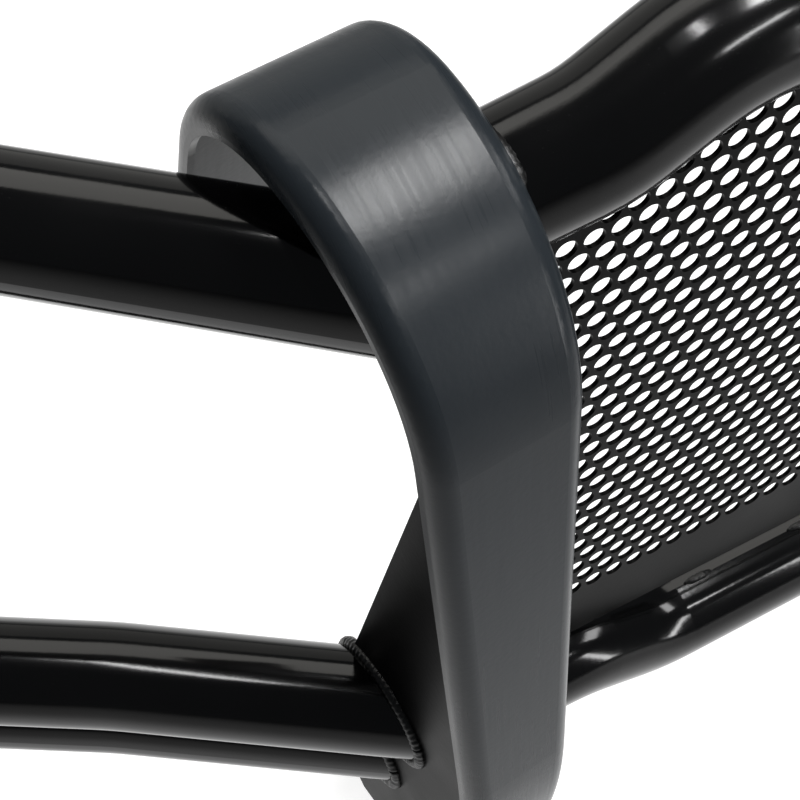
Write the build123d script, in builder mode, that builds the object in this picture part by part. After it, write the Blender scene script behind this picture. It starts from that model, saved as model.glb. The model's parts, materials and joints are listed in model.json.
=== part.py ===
from build123d import *
from math import cos, radians, sin, sqrt, tan
import os

# Front grille guard for a pickup truck: one welded frame, bolted to the chassis by two brackets.
#
# Frame: +X is across the vehicle, to the right of a person who stands in front and looks at the guard.
# -Y is forward, away from the vehicle, and +Z is up. The origin is the centre of the four chassis
# bolts, on the rear faces of the two frame brackets. The guard is symmetric about X = 0, and "left"
# and "right" are as that person sees them. Millimetres.

os.makedirs("parts", exist_ok=True)

# ---------------------------------------------------------------- tubes
TUBE_R = 25.4               # 2 in outside diameter
TUBE_WALL = 2.5
SNUG = 0.3                  # gap left at a welded joint

# ---------------------------------------------------------------- punch plate
PITCH = 11.5                # staggered round holes, centre to centre along a row
ROW_STEP = PITCH * sqrt(3) / 2
HOLE_R = 4.6
HOLE_MARGIN = 8.5           # from a hole's centre to the plate's edge
PLATE_T = 2.0
PLATE_FOOT_Y = -100.0       # the plate leans back a little
PLATE_FOOT_Z = 195.0
PLATE_LEAN = 2.05           # degrees
PLATE_HALF_WIDTH = 291.5
PLATE_HALF_CREST = 203.0    # where its top edge starts to fall towards the risers
PLATE_SHOULDER = 255.0
PLATE_CREST_H = 347.0       # heights along the plate, from its foot
PLATE_SHOULDER_H = 320.0
PLATE_END_H = 305.0
FIRST_ROW_H = 46.0

# ---------------------------------------------------------------- risers
# Each riser is a hooked channel. Its outline is drawn in its own side plane, which is turned a few
# degrees about Z: x is depth towards the vehicle and y is height, from the riser's datum.
RISER_DATUM = (-324.6, -96.6, 480.0)
RISER_TURN = 5.0            # degrees
RISER_WALL = 3.0
RISER_CORNER_R = 9.0
FLANGE_DEPTH = 12.0         # from the face to the free edge of a side flange
HALF_WIDTH = 32.6           # at the datum
FLARE_UP = 0.020            # gain in half width per mm of height
FLARE_BACK = 0.036          # gain in half width per mm of depth
WIDEST = 50.0               # more than the greatest half width
LEAN = 7.1                  # degrees: the foot of the leg stands forward of its top
LEG_TOP = (-52.8, 13.8)
LEG_LENGTH = 222.0
FOOT_BEND_R = 300.0
FOOT_BEND = 44.0            # degrees
CROWN_FRONT_R = 93.3
CROWN_REAR_R = 64.0
CROWN_REAR_SWEEP = 74.0     # degrees
TAIL_LENGTH = 116.0
CUT_PAST = 5.0              # how far a cutting body reaches past what it cuts

# ---------------------------------------------------------------- side plates of each riser
# The outer plate stands inside the channel, and the inner one behind its inboard flange.
SIDE_T = 6.0
INNER_FACE = 24.5           # the inner plate's outboard face, from the riser's middle plane
OUTER_FACE = -18.0          # the outer plate's outboard face
INNER_FRONT = FLANGE_DEPTH + 1.0        # depths of the plates' front edges, clear of the flange
OUTER_FRONT = RISER_WALL + 4.0          # and of the channel's inner corner
SIDE_HEAD = [(-45.0, -20.0), (-31.8, -29.0), (18.7, -224.5), (52.0, -353.0)]
SIDE_TOE = [(-8.0, -414.5), (-120.0, -300.0)]
OUTER_HEAD = [(-52.0, -16.0), (-26.0, -29.0), (21.0, -224.5), (50.0, -340.0)]
OUTER_FOOT = [(54.0, -395.0), (24.0, -425.0), (-17.0, -420.0), (-120.0, -300.0)]
ARM_HEAD_H = -440.0
ARM_FOOT_H = -520.0
ARM_END = 80.0
INNER_FOOT = [(71.0, -425.0), (ARM_END, ARM_HEAD_H), (ARM_END, ARM_FOOT_H), (2.0, ARM_FOOT_H)]

# ---------------------------------------------------------------- chassis brackets and hardware
BOLT_SPACING_X = 510.0
BOLT_SPACING_Z = 60.0
SLOT_R = 7.0
SLOT_LENGTH = 26.0
FACE_T = 8.0
FACE_HALF_HEIGHT = 52.0
FACE_INBOARD_X = -215.0
FACE_CORNER_R = 8.0
WEB_T = 6.0
WEB_CORNER_R = 10.0
WEB_START = 2.0             # depths from the riser's datum
WEB_END = 110.0
GUSSET_T = 6.0
GUSSET_Z = 34.0
GUSSET_ACROSS = 28.0
GUSSET_BACK = 44.0
ARM_BOLT_DEPTHS = (22.0, 56.0)
BOLT_R = 6.0                # M12
BOLT_HOLE_R = 6.75
BOLT_LENGTH = 34.0
HEAD_FLATS = 18.0
HEAD_H = 7.5
NUT_H = 10.8
WASHER_R = 12.0
WASHER_T = 2.5
THREAD_GAP = 0.05

# ---------------------------------------------------------------- tube routes, left end to middle
TOP_END = (-324.0, -71.7, 522.0)        # hidden under the riser's hook
TOP_DIP = (-255.0, -85.0, 548.0)
TOP_CREST = (-210.0, -84.0, 570.0)
LOW_END = (-298.0, -97.5, 168.0)
LOW_SHOULDER = (-235.0, -97.5, 166.0)
LOW_DIP = (-185.0, -97.5, 147.0)

HOOP_START = (-314.0, -94.9, 512.0)     # hidden under the riser's hook
HOOP_TOP_BEND = (-520.0, 74.3, 517.9)
HOOP_TOP_CORNER = (-825.0, 192.4, 525.0)
HOOP_LOW_CORNER = (-825.0, 188.0, 178.0)
HOOP_BENDS = [(-560.0, 54.0, 163.0), (-450.0, -8.7, 154.5)]
HOOP_FOOT = (-315.0, -94.0, 138.4)
BAR_HEAD = (-818.5, 184.2, 249.5)       # just short of the hoop's axis
BAR_BENDS = [(-560.0, 35.0, 233.0), (-450.0, -27.7, 224.5)]
BAR_FOOT = (-315.0, -113.0, 208.5)
GENTLE_R = 300.0
S_BEND_R = 80.0
CORNER_R = 110.0
LEG_TRIM = 200.0            # the box that cuts the hoop and the bar at the outer plate
LEG_TRIM_H = -330.0         # its middle, from the riser's datum


def save(piece, name):
    piece.part.label = name
    export_step(piece.part, f"parts/{name}.step")


def save_pair(piece, name):
    """Write the left piece, and its mirror image as the right one."""
    save(piece, f"left_{name}")
    with BuildPart() as other:
        mirror(piece.part, about=Plane.YZ)
    save(other, f"right_{name}")


# ---------------------------------------------------------------- tubes
def rod(route, bends, radius):
    """A solid round bar bent along a route."""
    with BuildPart() as bent:
        with BuildLine():
            path = FilletPolyline(*route, radius=bends)
        with BuildSketch(Plane(origin=path @ 0, z_dir=path % 0)):
            Circle(radius)
        sweep()
    return bent


def tube(route, bends):
    """A bent round tube, hollow from end to end."""
    with BuildPart() as hollow:
        add(rod(route, bends, TUBE_R).part)
        add(rod(route, bends, TUBE_R - TUBE_WALL).part, mode=Mode.SUBTRACT)
    return hollow


def whole_route(half):
    """A route from the left end to the middle, joined to its mirror image."""
    return half + [(-x, y, z) for x, y, z in reversed(half)]


# ---------------------------------------------------------------- riser outline
def riser_plane(across=0.0):
    """The left riser's side plane, or one parallel to it: its normal points inboard."""
    turn = radians(RISER_TURN)
    side = Plane(origin=RISER_DATUM, x_dir=(-sin(turn), cos(turn), 0), z_dir=(cos(turn), sin(turn), 0))
    return side.offset(across)


def riser_line(depth=0.0):
    """The riser's face in its side plane, moved inwards by a depth: foot, leg, hook and tail."""
    lean = radians(LEAN)
    up = (sin(lean), cos(lean))
    down = (-up[0], -up[1])
    leg_foot = (LEG_TOP[0] + LEG_LENGTH * down[0], LEG_TOP[1] + LEG_LENGTH * down[1])
    with BuildLine(mode=Mode.PRIVATE) as face:
        JernArc(start=leg_foot, tangent=down, radius=FOOT_BEND_R, arc_size=FOOT_BEND)
        Line(leg_foot, LEG_TOP)
        front = JernArc(start=LEG_TOP, tangent=up, radius=CROWN_FRONT_R, arc_size=LEAN - 90)
        rear = JernArc(start=front @ 1, tangent=(1, 0), radius=CROWN_REAR_R, arc_size=-CROWN_REAR_SWEEP)
        Line(rear @ 1, rear @ 1 + (rear % 1) * TAIL_LENGTH)
    line = face.wires()[0]
    return line.offset_2d(depth, side=Side.LEFT, closed=False) if depth else line


def nearest_end(line, point):
    return min((line @ 0, line @ 1), key=lambda end: (end - point).length)


def riser_band(start, end):
    """The band between two depths behind the riser's face, as a flat sketch."""
    near = riser_line(start)
    far = riser_line(end)
    with BuildSketch() as band:
        with BuildLine():
            add(near)
            add(far)
            for corner in (near @ 0, near @ 1):
                Line(corner, nearest_end(far, corner))
        make_face()
    return band.sketch_local


def on_face_corner(edge, side, face_line):
    """True for the long edges where the riser's face meets its two sides."""
    middle = side.to_local_coords(edge @ 0.5)
    runs_across = abs((edge % 0.5).dot(side.z_dir)) > 0.5
    return not runs_across and face_line.distance_to(Vector(middle.X, middle.Y, 0)) < 0.05


def flank(side, inset, sign):
    """The outer plane of one side of the riser, moved inwards by inset: it leans out with height and depth."""
    normal = side.z_dir * sign - side.x_dir * FLARE_BACK - side.y_dir * FLARE_UP
    return Plane(origin=side.origin + side.z_dir * sign * (HALF_WIDTH - inset), z_dir=normal)


def riser_block(inset, far_depth):
    """The riser's envelope, moved inwards by inset: wider at the hook, its face corners rounded."""
    side = riser_plane()
    with BuildPart() as block:
        with BuildSketch(side):
            add(riser_band(inset, far_depth))
        extrude(amount=WIDEST, both=True)
        split(bisect_by=flank(side, inset, 1), keep=Keep.BOTTOM)
        split(bisect_by=flank(side, inset, -1), keep=Keep.BOTTOM)
        face_line = riser_line(inset)
        corners = [edge for edge in block.edges() if on_face_corner(edge, side, face_line)]
        fillet(corners, RISER_CORNER_R - inset)
    return block


# ---------------------------------------------------------------- top and bottom tubes
top_route = whole_route([TOP_END, TOP_DIP, TOP_CREST])
top_tube = tube(top_route, S_BEND_R)
top_rod = rod(top_route, S_BEND_R, TUBE_R + SNUG)
save(top_tube, "centre_top_tube")

# the bottom tube is cut to meet the inboard faces of the two inner plates
inboard = riser_plane(INNER_FACE + SIDE_T + SNUG)
with BuildPart() as plate_trim:
    with BuildSketch(inboard):
        with Locations((0, LOW_END[2] - RISER_DATUM[2])):
            Rectangle(4 * TUBE_R, 4 * TUBE_R)
    extrude(amount=-TUBE_R)
    mirror(about=Plane.YZ)

with BuildPart() as bottom_tube:
    add(tube(whole_route([LOW_END, LOW_SHOULDER, LOW_DIP]), S_BEND_R).part)
    add(plate_trim.part, mode=Mode.SUBTRACT)
save(bottom_tube, "centre_bottom_tube")

# ---------------------------------------------------------------- punch plate
def plate_top(x):
    """Height of the plate's top edge, which follows the underside of the top tube."""
    x = abs(x)
    if x <= PLATE_HALF_CREST:
        return PLATE_CREST_H
    if x <= PLATE_SHOULDER:
        share = (x - PLATE_HALF_CREST) / (PLATE_SHOULDER - PLATE_HALF_CREST)
        return PLATE_CREST_H + share * (PLATE_SHOULDER_H - PLATE_CREST_H)
    share = (x - PLATE_SHOULDER) / (PLATE_HALF_WIDTH - PLATE_SHOULDER)
    return PLATE_SHOULDER_H + share * (PLATE_END_H - PLATE_SHOULDER_H)


def hole_centres():
    """The staggered grid, cut off a margin inside the plate's edges."""
    centres = []
    columns = int(PLATE_HALF_WIDTH / PITCH) + 1
    row = 0
    while FIRST_ROW_H + row * ROW_STEP < PLATE_CREST_H - HOLE_MARGIN:
        height = FIRST_ROW_H + row * ROW_STEP
        shift = PITCH / 2 if row % 2 else 0.0
        for column in range(-columns, columns + 1):
            x = column * PITCH + shift
            inside = abs(x) <= PLATE_HALF_WIDTH - HOLE_MARGIN
            if inside and height <= plate_top(x) - HOLE_MARGIN:
                centres.append((x, height))
        row += 1
    return centres


plate_plane = Plane(origin=(0, PLATE_FOOT_Y, PLATE_FOOT_Z), x_dir=(1, 0, 0), z_dir=(0, -1, 0))
plate_plane = plate_plane.rotated((-PLATE_LEAN, 0, 0))
plate_corners = [(x, plate_top(x)) for x in (PLATE_HALF_WIDTH, PLATE_SHOULDER, PLATE_HALF_CREST)]
plate_corners += [(-x, height) for x, height in reversed(plate_corners)]
plate_corners += [(-PLATE_HALF_WIDTH, 0), (PLATE_HALF_WIDTH, 0)]
plate_holes = [Wire.make_circle(HOLE_R, Plane(centre)) for centre in hole_centres()]
plate_face = Face(Wire.make_polygon(plate_corners), plate_holes)

with BuildPart() as punch_plate:
    with BuildSketch(plate_plane):
        add(plate_face)
    extrude(amount=PLATE_T / 2, both=True)
save(punch_plate, "punch_plate")

# ---------------------------------------------------------------- risers
# the inboard flange is coped where the top tube comes out from under the hook
riser_cavity = riser_block(RISER_WALL, FLANGE_DEPTH + CUT_PAST)
with BuildPart() as riser:
    add(riser_block(0, FLANGE_DEPTH))
    add(riser_cavity.part, mode=Mode.SUBTRACT)
    add(top_rod.part, mode=Mode.SUBTRACT)
save_pair(riser, "riser")


# ---------------------------------------------------------------- side plates
def side_plate(face_at, outline, front_at):
    """A plate along the riser, its front edge following the riser's face at a depth."""
    with BuildPart() as plate:
        with BuildSketch(riser_plane(face_at)):
            Polygon(*outline, align=None)
            add(riser_band(0, front_at), mode=Mode.SUBTRACT)
        extrude(amount=SIDE_T)
    with BuildPart() as behind_flange:
        add(plate.solids().sort_by(SortBy.VOLUME)[-1])
    return behind_flange


outer_plate = side_plate(OUTER_FACE, OUTER_HEAD + OUTER_FOOT, OUTER_FRONT)
save_pair(outer_plate, "riser_outer_plate")

inner_plate = side_plate(INNER_FACE, SIDE_HEAD + INNER_FOOT + SIDE_TOE, INNER_FRONT)
bolt_centres = [(depth, -RISER_DATUM[2]) for depth in ARM_BOLT_DEPTHS]
with BuildPart() as inner_plate_drilled:
    add(inner_plate.part)
    with BuildSketch(riser_plane(INNER_FACE - CUT_PAST)):
        with Locations(*bolt_centres):
            Circle(BOLT_HOLE_R)
    extrude(amount=SIDE_T + 2 * CUT_PAST, mode=Mode.SUBTRACT)
save_pair(inner_plate_drilled, "riser_inner_plate")

# ---------------------------------------------------------------- headlight hoops and bars
outboard = riser_plane(OUTER_FACE - SNUG)
hoop_route = [HOOP_START, HOOP_TOP_BEND, HOOP_TOP_CORNER, HOOP_LOW_CORNER, *HOOP_BENDS, HOOP_FOOT]
hoop_bends = [GENTLE_R, CORNER_R, CORNER_R, GENTLE_R, GENTLE_R]
hoop_tube = tube(hoop_route, hoop_bends)
hoop_rod = rod(hoop_route, hoop_bends, TUBE_R + SNUG)

# the lower leg of the hoop and the bar end on the outer plate: a box inboard of it takes the rest away
with BuildPart() as leg_trim:
    with BuildSketch(outboard):
        with Locations((0, LEG_TRIM_H)):
            Rectangle(LEG_TRIM, LEG_TRIM)
    extrude(amount=LEG_TRIM / 3)

# under the hook the hoop's upper leg is coped to the end of the top tube
with BuildPart() as hoop:
    add(hoop_tube.part)
    add(leg_trim.part, mode=Mode.SUBTRACT)
    add(top_rod.part, mode=Mode.SUBTRACT)
save_pair(hoop, "headlight_hoop")

with BuildPart() as bar:
    add(tube([BAR_HEAD, *BAR_BENDS, BAR_FOOT], GENTLE_R).part)
    add(leg_trim.part, mode=Mode.SUBTRACT)
    add(hoop_rod.part, mode=Mode.SUBTRACT)
save_pair(bar, "headlight_bar")


# ---------------------------------------------------------------- frame brackets
web_plane = riser_plane(INNER_FACE + SIDE_T)
bolt_z = BOLT_SPACING_Z / 2
with BuildPart() as bracket:
    with BuildSketch(web_plane):
        with Locations(((WEB_START + WEB_END) / 2, -RISER_DATUM[2])):
            RectangleRounded(WEB_END - WEB_START, ARM_HEAD_H - ARM_FOOT_H, WEB_CORNER_R)
        with Locations(*bolt_centres):
            Circle(BOLT_HOLE_R, mode=Mode.SUBTRACT)
    extrude(amount=WEB_T)
    web_outboard = web_plane.from_local_coords(Vector(-RISER_DATUM[1], 0, 0)).X
    face_width = FACE_INBOARD_X - web_outboard
    with BuildSketch(Plane.XZ):
        with Locations((web_outboard + face_width / 2, 0)):
            RectangleRounded(face_width, 2 * FACE_HALF_HEIGHT, FACE_CORNER_R)
        with Locations((-BOLT_SPACING_X / 2, bolt_z), (-BOLT_SPACING_X / 2, -bolt_z)):
            SlotOverall(SLOT_LENGTH, 2 * SLOT_R, mode=Mode.SUBTRACT)
    extrude(amount=FACE_T)
    split(bisect_by=Plane.XZ, keep=Keep.TOP)
save_pair(bracket, "frame_bracket")

# a triangular gusset stiffens each bracket between its web and its face plate
web_inner = web_plane.offset(WEB_T + SNUG)
gusset_y = -FACE_T - SNUG
with BuildPart() as gusset:
    with BuildSketch(Plane.XY.offset(GUSSET_Z)):
        corner_x = web_inner.from_local_coords(Vector(gusset_y - RISER_DATUM[1], 0, 0)).X
        tip_x = corner_x + GUSSET_BACK * tan(radians(RISER_TURN))
        Polygon((corner_x, gusset_y), (corner_x + GUSSET_ACROSS, gusset_y),
                (tip_x, gusset_y - GUSSET_BACK), align=None)
    extrude(amount=GUSSET_T)
save_pair(gusset, "bracket_gusset")


# ---------------------------------------------------------------- bolts, washers and nuts
def at_arm_bolts(across):
    """Places on the two arm bolts' axes, a distance inboard of the riser's middle plane."""
    plane = riser_plane(across)
    return [Plane(origin=plane.from_local_coords(Vector(depth, height, 0)), z_dir=plane.z_dir)
            for depth, height in bolt_centres]


def both_sides(piece, name):
    """Write the left pieces and their mirror images as one group of separate solids."""
    with BuildPart() as group:
        add(piece.part)
        mirror(piece.part, about=Plane.YZ)
    save(group, name)


web_far = INNER_FACE + SIDE_T + WEB_T

with BuildPart() as bolts:
    for place in at_arm_bolts(INNER_FACE - WASHER_T):
        with BuildSketch(place):
            RegularPolygon(HEAD_FLATS / 2, 6, major_radius=False)
        extrude(amount=-HEAD_H)
        with BuildSketch(place):
            Circle(BOLT_R)
        extrude(amount=BOLT_LENGTH)
both_sides(bolts, "bracket_bolts")

with BuildPart() as washers:
    for place in at_arm_bolts(INNER_FACE - WASHER_T) + at_arm_bolts(web_far):
        with BuildSketch(place):
            Circle(WASHER_R)
            Circle(BOLT_HOLE_R, mode=Mode.SUBTRACT)
        extrude(amount=WASHER_T)
both_sides(washers, "bracket_washers")

with BuildPart() as nuts:
    for place in at_arm_bolts(web_far + WASHER_T):
        with BuildSketch(place):
            RegularPolygon(HEAD_FLATS / 2, 6, major_radius=False)
            Circle(BOLT_R + THREAD_GAP, mode=Mode.SUBTRACT)
        extrude(amount=NUT_H)
both_sides(nuts, "bracket_nuts")
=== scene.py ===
import json
import math
import random

import bmesh
import bpy
from mathutils import Matrix, Vector


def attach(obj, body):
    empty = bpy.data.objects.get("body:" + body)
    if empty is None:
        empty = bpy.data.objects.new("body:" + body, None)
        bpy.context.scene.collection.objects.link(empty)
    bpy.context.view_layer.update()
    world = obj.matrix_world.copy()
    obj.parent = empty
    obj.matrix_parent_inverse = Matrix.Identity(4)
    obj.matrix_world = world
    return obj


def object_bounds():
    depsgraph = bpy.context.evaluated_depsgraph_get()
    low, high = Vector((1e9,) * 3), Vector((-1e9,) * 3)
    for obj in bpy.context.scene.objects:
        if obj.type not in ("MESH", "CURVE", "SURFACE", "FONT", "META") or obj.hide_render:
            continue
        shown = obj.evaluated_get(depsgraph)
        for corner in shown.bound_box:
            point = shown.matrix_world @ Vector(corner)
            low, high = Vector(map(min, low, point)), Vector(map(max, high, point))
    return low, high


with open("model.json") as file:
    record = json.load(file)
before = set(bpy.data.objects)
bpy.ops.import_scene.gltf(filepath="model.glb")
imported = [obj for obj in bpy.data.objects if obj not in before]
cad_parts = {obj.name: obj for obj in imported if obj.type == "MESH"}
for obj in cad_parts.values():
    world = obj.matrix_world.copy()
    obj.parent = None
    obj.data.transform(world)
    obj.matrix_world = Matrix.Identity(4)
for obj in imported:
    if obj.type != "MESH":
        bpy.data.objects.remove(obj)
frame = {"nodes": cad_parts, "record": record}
SIZE_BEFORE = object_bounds()
random.seed(11)

# ------------------------------------------------------------------ measures from the CAD, in metres
TUBE_R = 0.0254
DATUM = Vector((-0.3246, -0.0966, 0.480))        # the left riser's datum
TURN = math.radians(5.0)
BACK = Vector((-math.sin(TURN), math.cos(TURN), 0))
INBOARD = Vector((math.cos(TURN), math.sin(TURN), 0))
UP = Vector((0, 0, 1))
LEAN = math.tan(math.radians(7.1))               # how fast the leg's face comes forward going down
LEG_TOP = (-0.0528, 0.0138)                      # back and up from the datum
OUTER_FACE = -0.0180                             # the faces that the tubes are welded to, from the middle
INNER_FACE = 0.0305
# two points on the axis of each run that ends in a weld
BAR_RUN = Vector((-0.450, -0.0277, 0.2245)), Vector((-0.325, -0.1067, 0.2097))
LEG_RUN = Vector((-0.450, -0.0087, 0.1545)), Vector((-0.325, -0.0877, 0.1396))
BAR_OUTER_RUN = Vector((-0.560, 0.035, 0.233)), Vector((-0.8185, 0.1842, 0.2495))
HOOP_SIDE_RUN = Vector((-0.825, 0.188, 0.178)), Vector((-0.825, 0.1924, 0.525))
LOW_TUBE_END = Vector((-0.298, -0.0975, 0.168))
TOP_TUBE_RUN = Vector((-0.324, -0.0717, 0.522)), Vector((-0.255, -0.085, 0.548))
GUSSET_CORNER = Vector((-0.2956, -0.0086, 0.0402))
POOL_CENTRE = (-0.20, 0.32)                      # the pool of light on the floor
POOL_R = 1.05
POOL_STRENGTH = 0.75


def riser_point(back, up, inboard=0.0):
    return DATUM + BACK * back + UP * up + INBOARD * inboard


# ------------------------------------------------------------------ materials
DUST_LEVEL = 0.745                               # noise above this is a speck of dust
DUST_ROUGHNESS = 0.18                            # what a speck adds to the roughness


def new_material(name):
    mat = bpy.data.materials.new(name)
    mat.use_nodes = True
    nodes = mat.node_tree.nodes
    return mat, nodes, mat.node_tree.links, nodes["Principled BSDF"]


def noise(nodes, links, coords, scale, detail=4.0, stretch=(1, 1, 1), distortion=0.0):
    mapping = nodes.new("ShaderNodeMapping")
    mapping.inputs["Scale"].default_value = stretch
    links.new(coords, mapping.inputs["Vector"])
    tex = nodes.new("ShaderNodeTexNoise")
    tex.inputs["Scale"].default_value = scale
    tex.inputs["Detail"].default_value = detail
    tex.inputs["Distortion"].default_value = distortion
    links.new(mapping.outputs["Vector"], tex.inputs["Vector"])
    return tex.outputs["Fac"]


def ramp(nodes, links, fac, stops):
    node = nodes.new("ShaderNodeValToRGB")
    node.color_ramp.elements[0].position = stops[0][0]
    node.color_ramp.elements[0].color = (*stops[0][1], 1)
    node.color_ramp.elements[1].position = stops[-1][0]
    node.color_ramp.elements[1].color = (*stops[-1][1], 1)
    for position, colour in stops[1:-1]:
        node.color_ramp.elements.new(position).color = (*colour, 1)
    links.new(fac, node.inputs["Fac"])
    return node.outputs["Color"]


def spread(nodes, links, fac, low, high):
    node = nodes.new("ShaderNodeMapRange")
    node.inputs["From Min"].default_value = 0.3
    node.inputs["From Max"].default_value = 0.7
    node.inputs["To Min"].default_value = low
    node.inputs["To Max"].default_value = high
    links.new(fac, node.inputs["Value"])
    return node.outputs["Result"]


def mix_value(nodes, links, a, b, factor):
    node = nodes.new("ShaderNodeMix")
    node.data_type = "FLOAT"
    node.inputs[0].default_value = factor
    links.new(a, node.inputs[2])
    links.new(b, node.inputs[3])
    return node.outputs[0]


def bump(nodes, links, height, distance, strength, after=None):
    node = nodes.new("ShaderNodeBump")
    node.inputs["Distance"].default_value = distance
    node.inputs["Strength"].default_value = strength
    links.new(height, node.inputs["Height"])
    if after:
        links.new(after, node.inputs["Normal"])
    return node.outputs["Normal"]


def coated_black(name, dark, light, rough, orange_peel, streaks=0.0, specular=0.5):
    """A powder-coated black: mottled colour, uneven gloss, orange peel, dust and, if asked, streaks."""
    mat, nodes, links, bsdf = new_material(name)
    coords = nodes.new("ShaderNodeTexCoord").outputs["Object"]
    clouds = noise(nodes, links, coords, 9.0, 5.0, distortion=0.4)
    fine = noise(nodes, links, coords, 420.0, 3.0)
    dust = noise(nodes, links, coords, 1500.0, 2.0)
    links.new(ramp(nodes, links, clouds, [(0.3, dark), (0.7, light)]), bsdf.inputs["Base Color"])
    gloss = clouds
    if streaks:
        lines = noise(nodes, links, coords, 14.0, 8.0, stretch=(42, 1.2, 1.2))
        gloss = mix_value(nodes, links, clouds, lines, streaks)
    speck = nodes.new("ShaderNodeMath")
    speck.operation = "GREATER_THAN"
    speck.inputs[1].default_value = DUST_LEVEL
    links.new(dust, speck.inputs[0])
    add = nodes.new("ShaderNodeMath")
    add.operation = "MULTIPLY_ADD"
    add.inputs[1].default_value = DUST_ROUGHNESS
    links.new(speck.outputs[0], add.inputs[0])
    links.new(spread(nodes, links, gloss, rough[0], rough[1]), add.inputs[2])
    links.new(add.outputs[0], bsdf.inputs["Roughness"])
    normal = bump(nodes, links, fine, 0.0004, orange_peel)
    links.new(bump(nodes, links, clouds, 0.004, orange_peel * 0.6, normal), bsdf.inputs["Normal"])
    bsdf.inputs["Specular IOR Level"].default_value = specular
    return mat


def zinc(name):
    mat, nodes, links, bsdf = new_material(name)
    coords = nodes.new("ShaderNodeTexCoord").outputs["Object"]
    spangle = noise(nodes, links, coords, 60.0, 6.0, distortion=0.6)
    scratch = noise(nodes, links, coords, 55.0, 8.0, stretch=(1, 22, 1))
    links.new(ramp(nodes, links, spangle, [(0.3, (0.36, 0.36, 0.35)), (0.7, (0.56, 0.56, 0.58))]),
              bsdf.inputs["Base Color"])
    links.new(spread(nodes, links, mix_value(nodes, links, spangle, scratch, 0.5), 0.22, 0.42),
              bsdf.inputs["Roughness"])
    links.new(bump(nodes, links, scratch, 0.0006, 0.25), bsdf.inputs["Normal"])
    bsdf.inputs["Metallic"].default_value = 1.0
    return mat


def pale_floor(name):
    """A matt pale floor with a soft pool of light behind the left riser."""
    mat, nodes, links, bsdf = new_material(name)
    coords = nodes.new("ShaderNodeTexCoord").outputs["Object"]
    clouds = noise(nodes, links, coords, 1.5, 3.0)
    links.new(ramp(nodes, links, clouds, [(0.3, (0.50, 0.50, 0.50)), (0.7, (0.53, 0.53, 0.53))]),
              bsdf.inputs["Base Color"])
    links.new(spread(nodes, links, clouds, 0.85, 0.95), bsdf.inputs["Roughness"])
    place = nodes.new("ShaderNodeMapping")
    place.vector_type = "TEXTURE"
    place.inputs["Location"].default_value = (*POOL_CENTRE, 0)
    place.inputs["Scale"].default_value = (POOL_R, POOL_R, POOL_R)
    links.new(coords, place.inputs["Vector"])
    pool = nodes.new("ShaderNodeTexGradient")
    pool.gradient_type = "SPHERICAL"
    links.new(place.outputs["Vector"], pool.inputs["Vector"])
    glow = nodes.new("ShaderNodeMapRange")
    glow.interpolation_type = "SMOOTHSTEP"
    glow.inputs["From Max"].default_value = 0.6
    glow.inputs["To Max"].default_value = POOL_STRENGTH
    links.new(pool.outputs["Fac"], glow.inputs["Value"])
    bsdf.inputs["Emission Color"].default_value = (1, 1, 1, 1)
    links.new(glow.outputs["Result"], bsdf.inputs["Emission Strength"])
    return mat


GLOSS = coated_black("gloss_black_coat", dark=(0.0012, 0.0012, 0.0013), light=(0.0024, 0.0024, 0.0025),
                     rough=(0.09, 0.15), orange_peel=0.04, specular=0.32)
SATIN = coated_black("satin_black_coat", dark=(0.0125, 0.0155, 0.0185), light=(0.0160, 0.0195, 0.0230),
                     rough=(0.24, 0.36), orange_peel=0.10, streaks=0.5, specular=0.17)
PLATE = coated_black("satin_black_plate", dark=(0.0012, 0.0012, 0.0013), light=(0.0025, 0.0025, 0.0027),
                     rough=(0.28, 0.42), orange_peel=0.12, specular=0.02)
PUNCHED = coated_black("black_punched_plate", dark=(0.0016, 0.0016, 0.0016), light=(0.0035, 0.0035, 0.0035),
                       rough=(0.24, 0.36), orange_peel=0.08, specular=0.04)
BRACKET = coated_black("satin_black_bracket", dark=(0.003, 0.003, 0.003), light=(0.007, 0.007, 0.007),
                       rough=(0.38, 0.55), orange_peel=0.20, specular=0.3)
WELD = coated_black("coated_weld", dark=(0.0015, 0.0015, 0.0015), light=(0.006, 0.006, 0.006),
                    rough=(0.26, 0.48), orange_peel=0.5, specular=0.35)
ZINC = zinc("zinc_plate")
FLOOR = pale_floor("pale_floor")

LOOKS = {
    "gloss_black_tube": GLOSS,
    "satin_black_riser": SATIN,
    "satin_black_plate": PLATE,
    "black_punch_plate": PUNCHED,
    "satin_black_bracket": BRACKET,
    "plated_hardware": ZINC,
}
for entry in frame["record"]["subparts"]:
    node = frame["nodes"][entry["node"]]
    for material_slot in node.material_slots:
        material_slot.material = LOOKS[entry["material_slot"]]


# ------------------------------------------------------------------ weld beads
SCALE_LENGTH = 0.0028                            # of one ripple along a bead
SCALE_STEPS = 4
WANDER_STEPS = 24                                # between two changes in a bead's thickness
BEAD_SIDES = 10
RING_POINTS = 96
BEAD_LIFT = 0.0006                               # of a bead's middle off the tube


def mirrored(points):
    return [Vector((-p.x, p.y, p.z)) for p in points]


def resample(points, step, closed):
    """Points at even steps along a polyline."""
    loop = points + [points[0]] if closed else points
    lengths = [0.0]
    for a, b in zip(loop, loop[1:]):
        lengths.append(lengths[-1] + (b - a).length)
    count = max(4, round(lengths[-1] / step))
    out = []
    k = 0
    for i in range(count if closed else count + 1):
        want = lengths[-1] * i / count
        while k < len(lengths) - 2 and lengths[k + 1] < want:
            k += 1
        share = (want - lengths[k]) / max(1e-9, lengths[k + 1] - lengths[k])
        out.append(loop[k].lerp(loop[k + 1], share))
    return out


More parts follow.
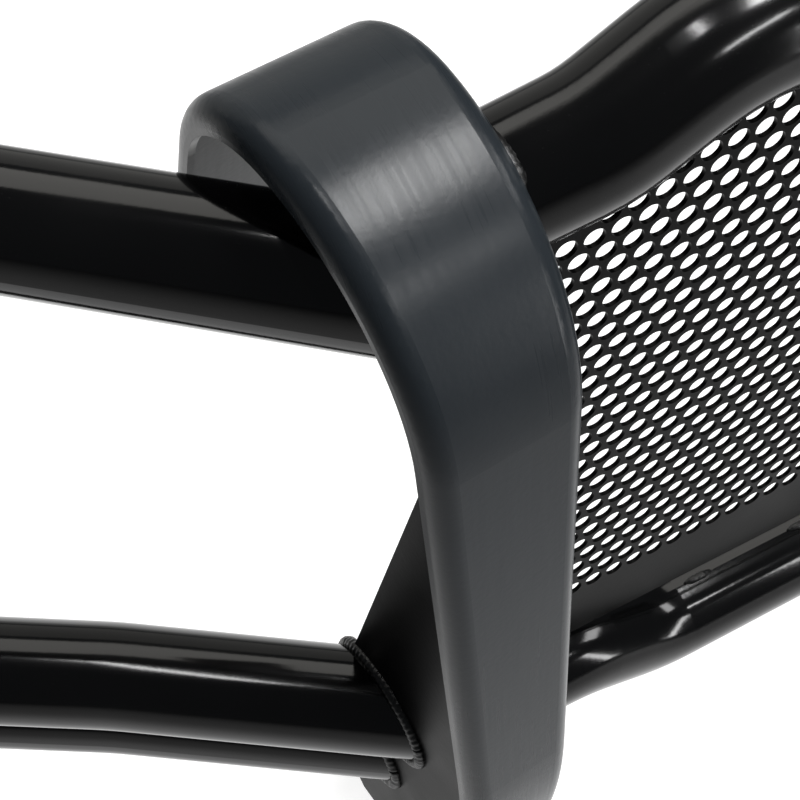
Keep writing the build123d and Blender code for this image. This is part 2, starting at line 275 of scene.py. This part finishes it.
def bead(name, points, radius=0.0032, closed=True):
    """A weld bead: overlapping scales along a joint, uneven in height and width."""
    path = resample(points, SCALE_LENGTH / SCALE_STEPS, closed)
    count = len(path)
    mesh = bpy.data.meshes.new(name)
    bm = bmesh.new()
    rings = []
    wander = [random.uniform(-1, 1) for _ in range(count // WANDER_STEPS + 3)]
    for i, point in enumerate(path):
        ahead = path[(i + 1) % count] if closed or i + 1 < count else point
        behind = path[i - 1] if closed or i else point
        along = (ahead - behind).normalized()
        across = along.cross(UP if abs(along.z) < 0.9 else BACK).normalized()
        lift = across.cross(along).normalized()
        phase = (i % SCALE_STEPS) / SCALE_STEPS
        k = i // WANDER_STEPS
        drift = wander[k] + (wander[k + 1] - wander[k]) * (i % WANDER_STEPS) / WANDER_STEPS
        size = radius * (0.90 + 0.11 * (1 - phase) ** 1.5 + 0.12 * drift)
        if not closed:
            size *= min(1.0, 0.35 + 0.1 * min(i, count - 1 - i))
        ring = []
        for j in range(BEAD_SIDES):
            angle = 2 * math.pi * j / BEAD_SIDES
            rough = 1 + random.uniform(-0.05, 0.05)
            outward = across * math.cos(angle) + lift * math.sin(angle)
            ring.append(bm.verts.new(point + outward * size * rough))
        rings.append(ring)
    pairs = list(zip(rings, rings[1:])) + ([(rings[-1], rings[0])] if closed else [])
    for a, b in pairs:
        for j in range(BEAD_SIDES):
            bm.faces.new((a[j], a[(j + 1) % BEAD_SIDES], b[(j + 1) % BEAD_SIDES], b[j]))
    if not closed:
        bm.faces.new(list(reversed(rings[0])))
        bm.faces.new(rings[-1])
    bmesh.ops.recalc_face_normals(bm, faces=bm.faces)
    bm.to_mesh(mesh)
    bm.free()
    for face in mesh.polygons:
        face.use_smooth = True
    obj = bpy.data.objects.new(name, mesh)
    bpy.context.scene.collection.objects.link(obj)
    obj.data.materials.append(WELD)
    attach(obj, "root")


def frame_about(direction):
    d = direction.normalized()
    u = d.cross(UP).normalized()
    return d, u, u.cross(d).normalized()


def ring_on_plane(axis_point, direction, plane_point, normal, start=0.0, end=360.0):
    """Where a round tube meets a flat face."""
    d, u, v = frame_about(direction)
    steps = RING_POINTS if end - start >= 360 else RING_POINTS - 1
    out = []
    for i in range(RING_POINTS):
        angle = math.radians(start + (end - start) * i / steps)
        edge = axis_point + (u * math.cos(angle) + v * math.sin(angle)) * (TUBE_R + BEAD_LIFT)
        t = (plane_point - edge).dot(normal) / d.dot(normal)
        out.append(edge + d * t)
    return out


def ring_on_tube(axis_point, direction, other_point, other_direction):
    """Where the end of one round tube is coped to the side of another."""
    d, u, v = frame_about(direction)
    o = other_direction.normalized()
    reach = TUBE_R + BEAD_LIFT
    out = []
    for i in range(RING_POINTS):
        angle = 2 * math.pi * i / RING_POINTS
        edge = axis_point + (u * math.cos(angle) + v * math.sin(angle)) * reach
        # the distance along d at which the edge is a tube's radius from the other tube's axis
        w = edge - other_point
        a = d - o * d.dot(o)
        b = w - o * w.dot(o)
        qa, qb, qc = a.dot(a), 2 * a.dot(b), b.dot(b) - reach ** 2
        root = math.sqrt(max(0.0, qb * qb - 4 * qa * qc))
        out.append(edge + d * ((-qb + root) / (2 * qa)))
    return out


def straight(start, run, steps):
    """Even points along a run from a start."""
    return [start + run * (i / steps) for i in range(steps + 1)]


def both(name, points, **options):
    bead(f"left_{name}", points, **options)
    bead(f"right_{name}", mirrored(points), **options)


outer_face = riser_point(0, 0, OUTER_FACE)
inner_face = riser_point(0, 0, INNER_FACE)
for name, run, radius in (("bar_weld", BAR_RUN, 0.0036), ("hoop_foot_weld", LEG_RUN, 0.0034)):
    both(name, ring_on_plane(run[1], run[1] - run[0], outer_face, INBOARD), radius=radius)
both("bottom_tube_weld", ring_on_plane(LOW_TUBE_END, Vector((-1, 0, 0.03)), inner_face, INBOARD))
both("bar_head_weld", ring_on_tube(BAR_OUTER_RUN[1], BAR_OUTER_RUN[0] - BAR_OUTER_RUN[1],
                                   HOOP_SIDE_RUN[0], HOOP_SIDE_RUN[1] - HOOP_SIDE_RUN[0]))

# the crown's inboard flange sits on the top tube
both("crown_weld", ring_on_plane(TOP_TUBE_RUN[0], TOP_TUBE_RUN[1] - TOP_TUBE_RUN[0],
                                 riser_point(0.02, 0, 0.0335), INBOARD, start=40, end=140),
     radius=0.0030, closed=False)

# stitches join the inner plate to the flange in front of it
STITCH_BACK = 0.0135                             # from the riser's face
STITCH_INBOARD = 0.0292
for k, height in enumerate((-0.095, -0.150, -0.205)):
    stitch = []
    for up in (height + 0.0025 * i for i in range(13)):
        stitch.append(riser_point(LEG_TOP[0] + (up - LEG_TOP[1]) * LEAN + STITCH_BACK, up, STITCH_INBOARD))
    both(f"riser_stitch_{k}", stitch, radius=0.0024, closed=False)

# the gusset in each bracket
GUSSET_WELDS = (("gusset_web_weld", (0.0037, -0.0420, 0), 12), ("gusset_face_weld", (0.0270, 0, 0), 8))
for name, run, steps in GUSSET_WELDS:
    both(name, straight(GUSSET_CORNER, Vector(run), steps), radius=0.0024, closed=False)

# tacks along the punched plate's back, under the top tube and over the bottom one
TACK = Vector((0.016, 0, 0))
for k in range(3):
    x = -0.165 + 0.066 * k
    both(f"plate_top_tack_{k}", straight(Vector((x, -0.0850, 0.5432)), TACK, 8), radius=0.0022, closed=False)
    both(f"plate_foot_tack_{k}", straight(Vector((x, -0.0975, 0.1728)), TACK, 8), radius=0.0022, closed=False)


# ------------------------------------------------------------------ floor, light and camera
FLOOR_REACH = 9.0
FLOOR_GAP = 0.001                                # between the floor and the lowest point
mesh = bpy.data.meshes.new("floor")
bm = bmesh.new()
bmesh.ops.create_grid(bm, x_segments=4, y_segments=4, size=FLOOR_REACH)
bm.to_mesh(mesh)
bm.free()
floor = bpy.data.objects.new("floor", mesh)
floor.location = (0, 0, SIZE_BEFORE[0][2] - FLOOR_GAP)
bpy.context.scene.collection.objects.link(floor)
floor.data.materials.append(FLOOR)

world = bpy.data.worlds.new("studio")
bpy.context.scene.world = world
world.use_nodes = True
world.node_tree.nodes["Background"].inputs["Color"].default_value = (0.80, 0.84, 0.90, 1)
world.node_tree.nodes["Background"].inputs["Strength"].default_value = 0.12


def softbox(name, place, target, width, depth, watts, colour=(1, 1, 1)):
    data = bpy.data.lights.new(name, "AREA")
    data.shape = "RECTANGLE"
    data.size = width
    data.size_y = depth
    data.energy = watts
    data.color = colour
    light = bpy.data.objects.new(name, data)
    light.location = place
    light.rotation_euler = (Vector(target) - Vector(place)).to_track_quat("-Z", "Y").to_euler()
    bpy.context.scene.collection.objects.link(light)


HOOK = (-0.32, -0.10, 0.55)
CREST = (-0.20, -0.10, 0.58)
softbox("key", (0.55, -0.17, 2.68), HOOK, 0.9, 0.42, 46)
softbox("top_strip", (-0.45, -0.12, 2.85), CREST, 0.8, 0.12, 11)
softbox("front_strip", (0.38, -1.6, 2.15), CREST, 0.95, 0.12, 12)
softbox("low_strip", (0.72, -1.45, 0.68), (-0.22, -0.10, 0.15), 0.12, 1.0, 8)
softbox("right_box", (1.9, -0.55, 2.5), (0.0, -0.1, 0.55), 1.2, 0.5, 22)
softbox("back_panel", (0.0, 1.7, 3.0), HOOK, 3.4, 1.6, 40, (1.0, 0.98, 0.93))
softbox("back_wall", (-0.2, 2.8, 1.15), (-0.3, 0.0, 0.5), 4.2, 2.0, 12, (1.0, 0.98, 0.92))

CAMERA = Vector((-0.4904, -0.3823, 0.9526))
right = Vector((0.8771, -0.4803, 0.0)).normalized()
forward = Vector((0.2669, 0.4875, -0.8313)).normalized()
upward = right.cross(forward)
camera_data = bpy.data.cameras.new("photo_camera")
camera_data.sensor_width = 36.0
camera_data.lens = 36.0 * 1673.0 / 800.0
camera_data.clip_start = 0.02
camera_data.clip_end = 50.0
camera = bpy.data.objects.new("photo_camera", camera_data)
camera.matrix_world = Matrix.Translation(CAMERA) @ Matrix((right, upward, -forward)).transposed().to_4x4()
bpy.context.scene.collection.objects.link(camera)
bpy.context.scene.camera = camera
bpy.context.scene.view_settings.view_transform = "Standard"
